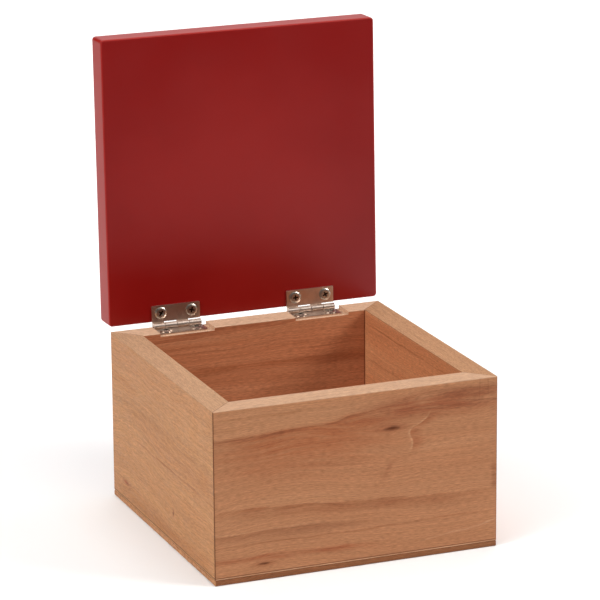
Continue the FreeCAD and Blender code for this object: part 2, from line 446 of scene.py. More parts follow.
    def fresh_wood_and_top_highlight(self, tree: NodeTree, up: Value, normal: Value) -> Node:
        """Where the top edge's colour shows: as a painted highlight on that edge, and as fresh wood on the
        floors and ends of hinge cuts.

        Args:
            tree: the tree that takes the nodes.
            up: height on the board in millimetres.
            normal: direction that the surface faces.

        Returns:
            Share of the top edge's colour.
        """
        facing = add(tree, "ShaderNodeSeparateXYZ", {0: normal}).outputs[1]
        flat = add(tree, "ShaderNodeMath", {0: facing}, operation="ABSOLUTE")
        # Faces in front and behind count as lower by the cuts' depth, so they keep the board's colour.
        level = add(tree, "ShaderNodeMath", {0: flat, 1: -self.cut_depth, 2: up}, operation="MULTIPLY_ADD")
        floor = self.top_height - self.cut_depth
        wires = {"Value": level, "From Min": floor - self.top_fade[0], "From Max": floor - self.top_fade[1],
                 "To Max": self.top_highlight_and_fresh_share}
        return add(tree, "ShaderNodeMapRange", wires, interpolation_type="SMOOTHSTEP")

    def in_log(self, tree: NodeTree, board: Value, place: Sequence[Value]) -> Node:
        """Position in the log, with the grain's waver and its parting round knots taken out.

        Args:
            tree: the tree that takes the nodes.
            board: position on the board in millimetres.
            place: the same as three values: along, deep and up.

        Returns:
            The position that the patterns follow.
        """
        along, deep, up = place
        flow = add(tree, "ShaderNodeMath", {0: WAVER.spread(tree, board), 1: RIPPLE.spread(tree, board)})
        flow = add(tree, "ShaderNodeMath", {0: flow, 1: up})
        for knot in self.knots:
            wires = {"Value": knot.distance(tree, along, up), "From Max": knot.parted,
                     "To Min": knot.parting, "To Max": 0.0}
            near = add(tree, "ShaderNodeMapRange", wires, interpolation_type="SMOOTHSTEP")
            aside = add(tree, "ShaderNodeMath", {0: knot.up, 1: up}, operation="SUBTRACT")
            flow = add(tree, "ShaderNodeMath", {0: aside, 1: near, 2: flow}, operation="MULTIPLY_ADD")
        where = add(tree, "ShaderNodeCombineXYZ", {0: along, 1: deep, 2: flow})
        return add(tree, "ShaderNodeVectorMath", {0: where, 1: self.log_place})

    def figure(self, tree: NodeTree, where: Value) -> list[tuple[Node, str]]:
        """Soft bands and growth lines of the wood, without the board's single marks.

        Args:
            tree: the tree that takes the nodes.
            where: position in the log in millimetres.

        Returns:
            Share and tint of each layer.
        """
        zones = Patches((300.0, 28.0, 15.0), (0.34, 0.66), (0.0, self.bands * 0.7)).spread(tree, where)
        bands = Patches((280.0, 9.0, 4.5), (0.36, 0.7), (0.0, self.bands * 0.45), 3.0).spread(tree, where)
        clouds = Patches((16.0, 12.0, 11.0), (0.35, 0.75), (0.0, self.bands * 0.3), 3.0).spread(tree, where)
        # Each growth line darkens slowly and ends at a clear edge.
        height = add(tree, "ShaderNodeSeparateXYZ", {0: where}).outputs[2]
        wires = {0: height, 1: 1 / self.line_spacing, 2: RING_DRIFT.spread(tree, where)}
        ring = add(tree, "ShaderNodeMath", wires, operation="MULTIPLY_ADD")
        part = add(tree, "ShaderNodeMath", {0: ring}, operation="FRACT")
        late = add(tree, "ShaderNodeFloatCurve", {"Value": part},
                   points=[(0.0, 0.0), (0.6, 0.05), (0.94, 1.0), (1.0, 0.0)])
        clear = Patches((70.0, 16.0, 9.0), (0.42, 0.66), (0.0, self.lines)).spread(tree, where)
        lines = add(tree, "ShaderNodeMath", {0: late, 1: clear}, operation="MULTIPLY")
        return [(zones, self.warm), (bands, self.warm), (clouds, self.warm), (lines, self.line_tint)]

    def glue_line(self, tree: NodeTree, board: Value, up: Value) -> Node:
        """Thin dark line where the mitres meet, tighter on the top edge, and half as wide above the base.

        Args:
            tree: the tree that takes the nodes.
            board: position on the board in millimetres.
            up: height on the board in millimetres.

        Returns:
            Share of the line's colour.
        """
        wires = {"Value": up, "From Min": self.top_height - self.top_fade[0],
                 "From Max": self.top_height - self.top_fade[1],
                 "To Min": self.glue_reach[0], "To Max": self.glue_reach[1]}
        width = add(tree, "ShaderNodeMapRange", wires)
        # Doubling the height halves the line's width there.
        wires = {0: board, 1: (1.0, 1.0, 2.0), 2: (0.0, 0.0, -2 * self.joint_height)}
        lowered = add(tree, "ShaderNodeVectorMath", wires, operation="MULTIPLY_ADD")
        size = add(tree, "ShaderNodeVectorMath", {0: lowered}, operation="ABSOLUTE")
        side = add(tree, "ShaderNodeSeparateXYZ", {0: size}).outputs
        mitre = add(tree, "ShaderNodeMath", {0: side[0], 1: side[1]}, operation="SUBTRACT")
        mitre = add(tree, "ShaderNodeMath", {0: mitre}, operation="ABSOLUTE")
        near = add(tree, "ShaderNodeMath", {0: mitre, 1: side[2]}, operation="MINIMUM")
        wires = {"Value": near, "From Min": self.glue_core, "From Max": width,
                 "To Min": self.glue, "To Max": 0.0}
        return add(tree, "ShaderNodeMapRange", wires, interpolation_type="SMOOTHSTEP")


@dataclass(frozen=True)
class SatinRedPaint:
    """Deep red paint, rolled on a sanded slab and left satin.

    Attributes:
        name: the material's name.
        deep: colour of the paint, towards the edges.
        thin: lighter red about the middle, painted light for where the light falls brightest.
        lit_edges: lighter red of the four edges, painted light for the light that their sides catch.
        edge_roughness: roughness of those edges.
        middle: the slab's middle as it stands open, in millimetres.
        half: from the slab's middle to its edges, in millimetres.
        lit_pool_edge: how unevenly the painted light's edge lies, in millimetres towards the middle.
        lit_pool_shares: where the painted light begins and is brightest, as shares of half.
        edge_reach: how far in from its edges the lighter edge colour begins and is full.
        satin: roughness of the faces.
        stipple: the roller's stipple.
        relief: depth of the stipple, in millimetres.
        relief_share: how much of that depth shows.
        ior: refraction of the paint's binder.
    """

    name: str = "satin_red_paint"
    deep: str = "#810B08"
    thin: str = "#8F1814"
    lit_edges: str = "#9B170E"
    edge_roughness: float = 0.46
    middle: Size = (0.0, 82.0, 158.7)
    half: float = 72.0
    lit_pool_edge: Patches = Patches((45.0, 45.0, 45.0), gives=(-12.0, 12.0), detail=3.0)
    lit_pool_shares: Point = (1.2, 0.2)
    edge_reach: Point = (0.9, 0.4)
    satin: Patches = Patches((30.0, 30.0, 30.0), gives=(0.285, 0.335), detail=3.0)
    stipple: Patches = Patches((2.4, 2.4, 2.4))
    relief: float = 0.03
    relief_share: float = 0.05
    ior: float = 1.41

    def material(self) -> Material:
        """Builds the paint's node material.

        Returns:
            The material.
        """
        # Rolled satin paint: an even deep red with a broad blurred reflection and a very slight
        # stipple; a lighter red painted unevenly about the middle and on the edges as painted light, and
        # duller edges.
        made, tree, shader = start_material(self.name)
        spot = add(tree, "ShaderNodeTexCoord").outputs["Object"]
        where = add(tree, "ShaderNodeMapping", {0: spot, "Scale": (1 / MM,) * 3})
        # Painted light: a lighter red about the middle, unevenly edged, where the light falls brightest.
        away = add(tree, "ShaderNodeVectorMath", {0: where, 1: self.middle}, operation="DISTANCE")
        uneven = add(tree, "ShaderNodeMath", {0: away, 1: self.lit_pool_edge.spread(tree, where)})
        lit_pool_edge, brightest = self.lit_pool_shares
        wires = {"Value": uneven, "From Min": self.half * lit_pool_edge, "From Max": self.half * brightest}
        lit_pool = add(tree, "ShaderNodeMapRange", wires, interpolation_type="SMOOTHSTEP")
        wires = {0: lit_pool, 6: linear(self.deep), 7: linear(self.thin)}
        face = add(tree, "ShaderNodeMix", wires, data_type="RGBA")
        # Painted light: a lighter red on the four edges for the light that their sides catch; they are also
        # duller.
        aside = add(tree, "ShaderNodeVectorMath", {0: where, 1: self.middle}, operation="SUBTRACT")
        reach = add(tree, "ShaderNodeVectorMath", {0: aside}, operation="ABSOLUTE")
        across, _, along = add(tree, "ShaderNodeSeparateXYZ", {0: reach}).outputs
        out = add(tree, "ShaderNodeMath", {0: across, 1: along}, operation="MAXIMUM")
        begins, full = (self.half - reach_in for reach_in in self.edge_reach)
        edge = add(tree, "ShaderNodeMapRange", {"Value": out, "From Min": begins, "From Max": full})
        colour = add(tree, "ShaderNodeMix", {0: edge, 6: face, 7: linear(self.lit_edges)}, data_type="RGBA")
        wires = {0: edge, 2: self.satin.spread(tree, where), 3: self.edge_roughness}
        sheen = add(tree, "ShaderNodeMix", wires)
        wires = {"Strength": self.relief_share, "Distance": self.relief * MM,
                 "Height": self.stipple.spread(tree, where)}
        bump = add(tree, "ShaderNodeBump", wires)
        tree.links.new(colour.outputs[2], shader.inputs["Base Color"])
        tree.links.new(sheen.outputs[0], shader.inputs["Roughness"])
        tree.links.new(bump.outputs[0], shader.inputs["Normal"])
        shader.inputs["IOR"].default_value = self.ior
        return made


@dataclass(frozen=True)
class PlatedSteel:
    """Pressed or turned steel with a thin bright plating.

    Attributes:
        name: the material's name.
        bright: colour of the clean plating.
        dull: colour of the dull patches.
        roughness: roughness of the clean plating and of the dull patches.
        marks: size of the draw marks along each axis, in millimetres.
        recess: dark colour of faces that a fastener's tree marks as its recess, partly unpolished plating and
            partly painted shade.
        wear: size of the dull patches along each axis, in millimetres.
        wear_edge: levels of the cloud at which a dull patch begins and is full.
        relief: depth of the draw marks, in millimetres.
        relief_share: how much of that depth shows.
    """

    name: str
    bright: str
    dull: str
    roughness: Point
    marks: Size
    recess: str = "#3A342E"
    wear: Size = (5.0, 5.0, 5.0)
    wear_edge: Point = (0.4, 0.75)
    relief: float = 0.02
    relief_share: float = 0.08

    def material(self) -> Material:
        """Builds the metal's node material.

        Returns:
            The material.
        """
        # Bright plating: a soft mirror, fine draw marks from the press or the lathe, faint dull
        # patches from handling, and a dark recess, partly unpolished plating and partly painted shade.
        made, tree, shader = start_material(self.name)
        spot = add(tree, "ShaderNodeTexCoord").outputs["Object"]
        where = add(tree, "ShaderNodeMapping", {0: spot, "Scale": (1 / MM,) * 3})
        worn = Patches(self.wear, self.wear_edge).spread(tree, where)
        sheen = Patches(self.wear, self.wear_edge, self.roughness).spread(tree, where)
        marks = Patches(self.marks).spread(tree, where)
        wires = {0: worn, 6: linear(self.bright), 7: linear(self.dull)}
        plating = add(tree, "ShaderNodeMix", wires, data_type="RGBA")
        # Painted shade: faces marked as a recess take a dark colour, partly unpolished plating and partly the
        # shade inside it.
        sunk = add(tree, "ShaderNodeAttribute", attribute_name="recess").outputs["Fac"]
        colour = add(tree, "ShaderNodeMix", {0: sunk, 6: plating, 7: linear(self.recess)}, data_type="RGBA")
        wires = {"Strength": self.relief_share, "Distance": self.relief * MM, "Height": marks}
        bump = add(tree, "ShaderNodeBump", wires)
        tree.links.new(colour.outputs[2], shader.inputs["Base Color"])
        tree.links.new(sheen.outputs[0], shader.inputs["Roughness"])
        tree.links.new(bump.outputs[0], shader.inputs["Normal"])
        shader.inputs["Metallic"].default_value = 1.0
        return made


def finished(name: str, form: BMesh, material: Material) -> Object:
    """Makes an object at the origin from a form in millimetres, and frees the form.

    Args:
        name: the piece's name.
        form: the closed form.
        material: its finish.

    Returns:
        The object, smooth on its roundings and flat on its faces.
    """
    bmesh.ops.recalc_face_normals(form, faces=form.faces)
    bmesh.ops.scale(form, vec=(MM,) * 3, verts=form.verts)
    mesh = bpy.data.meshes.new(name)
    form.to_mesh(mesh)
    form.free()
    mesh.shade_smooth()
    mesh.set_sharp_from_angle(angle=BOARD_CREASE)
    mesh.materials.append(material)
    made = bpy.data.objects.new(name, mesh)
    bpy.context.scene.collection.objects.link(made)
    made.modifiers.new("flat_faces", "WEIGHTED_NORMAL").keep_sharp = True
    return made


def seat(piece: Object, body: Body, slot: Slot, *nodes: str) -> None:
    """Lets a finished piece ride on its body in place of solids.

    Args:
        piece: the finished piece.
        body: the body that it moves with.
        slot: the record's finish; not used.
        nodes: the solids that it stands for.
    """
    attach(piece, body.value)
    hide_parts(*nodes)
    log.info("%s: %d faces, on %s", piece.name, len(piece.data.polygons), body.value)


@dataclass
class Fastener:
    """Something driven into the wood, made by a node tree and set at many points.

    Attributes:
        name: the piece's name.
        finish: its finish.
        sizes: the tree's named inputs in millimetres.
        sides: number of sides that draw a round length.
    """

    name: str
    finish: PlatedSteel
    sizes: dict[str, float]
    sides: int = 32

    def form(self, tree: NodeTree, size: dict[str, NodeSocket]) -> Node:
        """Geometry of one fastener, its seat on z = 0 and its head towards +Z."""
        raise NotImplementedError

    def build(self, places: Sequence[tuple[Vector, Vector, float]]) -> Object:
        """Sets the fastener at each place and makes one plain mesh of them.

        Args:
            places: seat point in millimetres, direction of the head, and turn in radians.

        Returns:
            The piece.
        """
        points = bpy.data.meshes.new(self.name)
        points.from_pydata([tuple(point * MM) for point, _, _ in places], [], [])
        points.attributes.new("facing", "FLOAT_VECTOR", "POINT")
        points.attributes.new("turn", "FLOAT", "POINT")
        for index, (_, direction, angle) in enumerate(places):
            points.attributes["facing"].data[index].vector = direction
            points.attributes["turn"].data[index].value = angle
        holder = bpy.data.objects.new(self.name + "_points", points)
        bpy.context.scene.collection.objects.link(holder)
        tree = bpy.data.node_groups.new(self.name, "GeometryNodeTree")
        self.fill(tree)
        modifier = holder.modifiers.new(self.name, "NODES")
        modifier.node_group = tree
        for item in tree.interface.items_tree:
            if item.name in self.sizes:
                modifier[item.identifier] = self.sizes[item.name] * MM
        shaped = holder.evaluated_get(bpy.context.evaluated_depsgraph_get())
        mesh = bpy.data.meshes.new_from_object(shaped)
        bpy.data.objects.remove(holder)
        mesh.name = self.name
        mesh.shade_smooth()
        mesh.set_sharp_from_angle(angle=FASTENER_CREASE)
        piece = bpy.data.objects.new(self.name, mesh)
        bpy.context.scene.collection.objects.link(piece)
        return piece

    def fill(self, tree: NodeTree) -> None:
        """Fills the tree: one fastener, set on every point, made real and finished.

        Args:
            tree: the empty node tree.
        """
        sockets = tree.interface
        sockets.new_socket("Geometry", in_out="INPUT", socket_type="NodeSocketGeometry")
        for name in self.sizes:
            sockets.new_socket(name, in_out="INPUT", socket_type="NodeSocketFloat")
        sockets.new_socket("Geometry", in_out="OUTPUT", socket_type="NodeSocketGeometry")
        given = add(tree, "NodeGroupInput").outputs
        one = self.form(tree, {name: given[name] for name in self.sizes})
        facing = add(tree, "GeometryNodeInputNamedAttribute", {"Name": "facing"}, data_type="FLOAT_VECTOR")
        turn = add(tree, "GeometryNodeInputNamedAttribute", {"Name": "turn"}, data_type="FLOAT")
        aim = add(tree, "FunctionNodeAlignRotationToVector", {"Vector": facing}, axis="Z")
        spin = add(tree, "FunctionNodeAxisAngleToRotation", {"Axis": (0.0, 0.0, 1.0), "Angle": turn})
        wires = {"Rotation": aim, "Rotate By": spin}
        rotation = add(tree, "FunctionNodeRotateRotation", wires, rotation_space="LOCAL")
        wires = {"Points": given["Geometry"], "Instance": one, "Rotation": rotation}
        spread = add(tree, "GeometryNodeInstanceOnPoints", wires)
        real = add(tree, "GeometryNodeRealizeInstances", {0: spread})
        wires = {"Geometry": real, "Material": self.finish.material()}
        add(tree, "NodeGroupOutput", {0: add(tree, "GeometryNodeSetMaterial", wires)})

    def rod(self, tree: NodeTree, radius: Value, length: Value, top: Value | float) -> Node:
        """A straight round length that hangs down from a height.

        Args:
            tree: the fastener's tree.
            radius: its radius.
            length: its length.
            top: height of its upper end.

        Returns:
            The rod's geometry.
        """
        wires = {"Vertices": self.sides, "Radius": radius, "Depth": length}
        made = add(tree, "GeometryNodeMeshCylinder", wires)
        half = add(tree, "ShaderNodeMath", {0: length, 1: -0.5, 2: top}, operation="MULTIPLY_ADD")
        move = add(tree, "ShaderNodeCombineXYZ", {2: half})
        return add(tree, "GeometryNodeTransform", {"Geometry": made, "Translation": move})


@dataclass
class Screw(Fastener):
    """Round-headed wood screw with a cross recess.

    Attributes:
        head_sides: number of sides that draw the head.
        head_rings: number of rings over which its top falls away.
        taper_shares: size of the recess's floor against its mouth, along an arm, across it and down.
    """

    head_sides: int = 64
    head_rings: int = 12
    taper_shares: Size = (0.45, 0.7, 1.0)

    def form(self, tree: NodeTree, size: dict[str, NodeSocket]) -> Node:
        """One screw from its sizes.

        Args:
            tree: the screw's tree.
            size: the tree's inputs by name.

        Returns:
            The screw's geometry.
        """
        slots = [self.recess(tree, size, turn) for turn in (0.0, math.pi / 2)]
        cross = add(tree, "GeometryNodeJoinGeometry", {0: slots})
        wires = {"Mesh 1": self.head(tree, size), "Mesh 2": cross, "Self Intersection": True}
        cut = add(tree, "GeometryNodeMeshBoolean", wires, operation="DIFFERENCE", solver="EXACT")
        wires = {"Geometry": cut, "Distance": size["Weld Distance"]}
        welded = add(tree, "GeometryNodeMergeByDistance", wires)
        return add(tree, "GeometryNodeJoinGeometry", {0: [welded, *self.shank(tree, size)]})

    def head(self, tree: NodeTree, size: dict[str, NodeSocket]) -> Node:
        """Disc whose top falls away in a curve outside its flat crown.

        Args:
            tree: the screw's tree.
            size: the tree's inputs by name.

        Returns:
            The head's geometry.
        """
        wires = {"Vertices": self.head_sides, "Fill Segments": self.head_rings,
                 "Radius": size["Head Radius"], "Depth": size["Head Height"]}
        disc = add(tree, "GeometryNodeMeshCylinder", wires)
        place = add(tree, "ShaderNodeSeparateXYZ", {0: add(tree, "GeometryNodeInputPosition")}).outputs
        plan = add(tree, "ShaderNodeCombineXYZ", {0: place[0], 1: place[1]})
        out = add(tree, "ShaderNodeVectorMath", {0: plan}, operation="LENGTH")
        wires = {"Value": out, "From Min": size["Crown Radius"], "From Max": size["Head Radius"]}
        past = add(tree, "ShaderNodeMapRange", wires)
        curve = add(tree, "ShaderNodeMath", {0: past, 1: 2.0}, operation="POWER")
        fall = add(tree, "ShaderNodeMath", {0: curve, 1: size["Head Fall"]}, operation="MULTIPLY")
        down = add(tree, "ShaderNodeVectorMath", {0: (0.0, 0.0, -1.0), "Scale": fall}, operation="SCALE")
        top = add(tree, "FunctionNodeCompare", {0: place[2], 1: 0.0}, operation="GREATER_THAN")
        domed = add(tree, "GeometryNodeSetPosition", {"Geometry": disc, "Selection": top, "Offset": down})
        half = add(tree, "ShaderNodeMath", {0: size["Head Height"], 1: 0.5}, operation="MULTIPLY")
        rise = add(tree, "ShaderNodeCombineXYZ", {2: half})
        return add(tree, "GeometryNodeTransform", {"Geometry": domed, "Translation": rise})

    def recess(self, tree: NodeTree, size: dict[str, NodeSocket], turn: float) -> Node:
        """One arm pair of the cross recess, tapered towards its floor.

        Args:
            tree: the screw's tree.
            size: the tree's inputs by name.
            turn: its turn about the screw's axis.

        Returns:
            The cutting geometry.
        """
        deep = add(tree, "ShaderNodeMath", {0: size["Recess Depth"], 1: 2.0}, operation="MULTIPLY")
        bar = add(tree, "ShaderNodeCombineXYZ", {0: size["Recess Span"], 1: size["Recess Width"], 2: deep})
        block = add(tree, "GeometryNodeMeshCube", {"Size": bar})
        spot = add(tree, "GeometryNodeInputPosition")
        height = add(tree, "ShaderNodeSeparateXYZ", {0: spot}).outputs[2]
        foot = add(tree, "FunctionNodeCompare", {0: height, 1: 0.0}, operation="LESS_THAN")
        narrow = add(tree, "ShaderNodeVectorMath", {0: spot, 1: self.taper_shares}, operation="MULTIPLY")
        wires = {"Geometry": block, "Selection": foot, "Position": narrow}
        tapered = add(tree, "GeometryNodeSetPosition", wires)
        rise = add(tree, "ShaderNodeCombineXYZ", {2: size["Head Height"]})
        wires = {"Geometry": tapered, "Translation": rise, "Rotation": (0.0, 0.0, turn)}
        placed = add(tree, "GeometryNodeTransform", wires)
        # Marks the recess's faces, which the finish paints dark, partly as painted shade.
        wires = {"Geometry": placed, "Name": "recess", "Value": 1.0}
        return add(tree, "GeometryNodeStoreNamedAttribute", wires, data_type="FLOAT", domain="FACE")

    def shank(self, tree: NodeTree, size: dict[str, NodeSocket]) -> list[Node]:
        """Plain neck, core, point and thread below the head.

        Args:
            tree: the screw's tree.
            size: the tree's inputs by name.

        Returns:
            Their geometry.
        """
        neck = self.rod(tree, size["Neck Radius"], size["Neck Length"], 0.0)
        core = self.rod(tree, size["Core Radius"], size["Core Length"], 0.0)
        foot = add(tree, "ShaderNodeMath", {0: size["Core Length"], 1: -1.0}, operation="MULTIPLY")
        low = add(tree, "ShaderNodeCombineXYZ", {2: foot})
        # The point starts a little way up inside the core, so that the two share no face.
        start = add(tree, "ShaderNodeMath", {0: foot, 1: size["Point Overlap"]})
        into = add(tree, "ShaderNodeCombineXYZ", {2: start})
        wires = {"Vertices": self.sides, "Radius Bottom": size["Core Radius"], "Depth": size["Point Length"]}
        cone = add(tree, "GeometryNodeMeshCone", wires)
        wires = {"Geometry": cone, "Translation": into, "Rotation": (math.pi, 0.0, 0.0)}
        point = add(tree, "GeometryNodeTransform", wires)
        wires = {0: size["Core Length"], 1: size["Neck Length"]}
        rise = add(tree, "ShaderNodeMath", wires, operation="SUBTRACT")
        turns = add(tree, "ShaderNodeMath", {0: rise, 1: size["Thread Pitch"]}, operation="DIVIDE")
        wires = {"Resolution": self.sides, "Rotations": turns, "Start Radius": size["Core Radius"],
                 "End Radius": size["Core Radius"], "Height": rise}
        helix = add(tree, "GeometryNodeCurveSpiral", wires)
        # Four points round the ridge give it a sharp crest.
        wires = {"Resolution": 4, "Radius": size["Thread Rise"]}
        ridge = add(tree, "GeometryNodeCurvePrimitiveCircle", wires)
        wires = {"Curve": helix, "Profile Curve": ridge, "Fill Caps": True}
        thread = add(tree, "GeometryNodeCurveToMesh", wires)
        cut = add(tree, "GeometryNodeTransform", {"Geometry": thread, "Translation": low})
        return [neck, core, point, cut]


@dataclass
class Brad(Fastener):
    """Flat-headed brad, driven up into a wall from below."""

    def form(self, tree: NodeTree, size: dict[str, NodeSocket]) -> Node:
        """One brad from its sizes.

        Args:
            tree: the brad's tree.
            size: the tree's inputs by name.

        Returns:
            The brad's geometry.
        """
        head = self.rod(tree, size["Head Radius"], size["Head Height"], 0.0)
        shank = self.rod(tree, size["Shank Radius"], size["Length"], 0.0)
        return add(tree, "GeometryNodeJoinGeometry", {0: [head, shank]})


# Marks of the single boards, with a few painted highlights and a painted lit end on the base, in millimetres
# along the board from its middle and up from the floor.
FRONT_MARKS_AND_FOOT_HIGHLIGHT = (
    Streak(((-84, 69.0), (-29, 70.2), (-1, 73.3), (36, 76.5)), (3.5, 32.0), "#A85B34", 0.75, fade=0.35),
    Streak(((-84, 70.1), (-50, 70.7), (-29, 71.5), (-15, 72.6), (-1, 74.9), (14, 77.0), (26, 79.4)),
           (0.5, 1.1), "#7C3E23", 0.45, fade=0.2),
    Streak(((-94, 69.8), (-58, 70.4), (-18, 71.8)), (1.4, 3.0), "#864325", 0.4, fade=0.4),
    Streak(((-94, 80.7), (-45, 80.3), (-15, 81.4)), (0.7, 1.4), "#985B36", 0.4, fade=0.3),
    Streak(((-14, 73.0), (30, 74.5), (55, 74.0), (90, 72.0)), (12.0, 8.0), "#934828", 0.75, fade=0.4),
    Streak(((46, 77.0), (60, 75.4), (84, 72.0)), (0.5, 1.1), "#6D3722", 0.55, fade=0.3),
    Streak(((30, 80.5), (58, 79.0), (90, 77.0)), (5.0, 4.0), "#824124", 0.6, fade=0.4),
    Streak(((-94, 36.4), (-40, 35.2), (-18, 33.5), (20, 31.3), (45, 30.0), (80, 28.8)),
           (0.6, 8.5), "#965431", 0.65, fade=0.3),
    Streak(((-94, 24.8), (-45, 24.6), (-12, 24.2)), (0.4, 0.5), "#D09A72", 0.45, fade=0.3),
    Streak(((-94, 23.9), (-45, 23.7), (-12, 23.2), (22, 22.6)), (0.4, 6.0), "#965C3D", 0.6, fade=0.35),
    Streak(((-94, 18.4), (-10, 18.2), (43, 18.5), (84, 18.0)), (0.5, 1.1), "#8C4E2F", 0.5, fade=0.25),
    Streak(((-94, 12.4), (-40, 11.6), (-10, 11.0), (24, 10.2)), (1.4, 3.2), "#9E4E2C", 0.65, fade=0.3),
    Streak(((26, 7.2), (52, 10.6), (84, 15.6)), (0.6, 0.5), "#D39E77", 0.6, fade=0.3),
    # Painted highlight: a pale line along the foot of the wall, where its lower edge catches the light.
    Streak(((-84, 3.0), (0, 3.0), (84, 3.0)), (0.6, 0.6), "#DDAF8A", 0.8, fade=0.02),
    Streak(((52.0, 27.0), (58.0, 28.6), (63.5, 27.2), (67.0, 33.2), (74.0, 39.0)),
           (8.0, 0.5), "#9E522E", 0.6, True, 0.3),
    Streak(((52.0, 25.4), (58.0, 28.0), (63.5, 26.5), (67.0, 32.6), (74.0, 38.4)),
           (0.8, 1.1), "#D49E73", 0.6, True, 0.3),
    Streak(((38.5, 11.6), (46.0, 15.5), (53.0, 21.0)), (2.4, 2.4), "#91573A", 0.4, True, 0.4),
    Streak(((28.0, 71.0), (36.0, 70.5), (44.0, 71.0)), (3.0, 3.0), "#854B2E", 0.5, True, 0.3),
    Streak(((74.0, 62.6), (86.0, 62.9)), (0.5, 0.5), "#7D482F", 0.3, True),
    Streak(((76.0, 67.2), (86.0, 67.0)), (0.5, 0.5), "#7D482F", 0.3, True),
)
LEFT_MARKS_AND_FOOT_HIGHLIGHT = (
    Streak(((-54, 39.4), (0, 38.7), (30, 39.0), (84, 38.4)), (0.5, 0.9), "#955432", 0.6, fade=0.25),
    Streak(((-84, 52.0), (-10, 54.5), (84, 53.5)), (6.0, 9.0), "#A96C42", 0.4, fade=0.3),
    Streak(((-84, 66.0), (-50, 64.0), (-30, 65.0)), (5.0, 7.0), "#AD6938", 0.45, fade=0.35),
    Streak(((-84, 8.0), (0, 6.5), (84, 8.0)), (4.0, 4.0), "#A9673B", 0.4, fade=0.3),
    # Painted highlight: a pale line along the foot of the wall, where its lower edge catches the light.
    Streak(((-84, 3.0), (0, 3.0), (84, 3.0)), (0.6, 0.6), "#D9AC85", 0.6, fade=0.02),
)
BASE_LIT_END = (
    # Painted light: the base's left end is painted pale for the light from the left that falls on it.
    Streak(((-4.0, -72.0), (6.0, -72.0)), (0.6, 0.6), "#F4B27C", 1.0, True),
)
BACK_MARKS = (
    Streak(((-66, 79.6), (-45, 79.9), (20, 83.2), (40, 84.4)), (9.0, 0.4), "#8D4C2F", 0.5, fade=0.1),
    Streak(((-66, 62.0), (0, 64.0), (66, 61.0)), (0.5, 7.0), "#925331", 0.5),
)
RIGHT_MARKS = (
    Streak(((-60, 78.8), (0, 78.6), (48, 78.4)), (0.4, 0.9), "#814528", 0.55),
    Streak(((-60, 60.0), (-30, 60.6), (10, 60.2)), (0.4, 1.6), "#8F5433", 0.4),
)


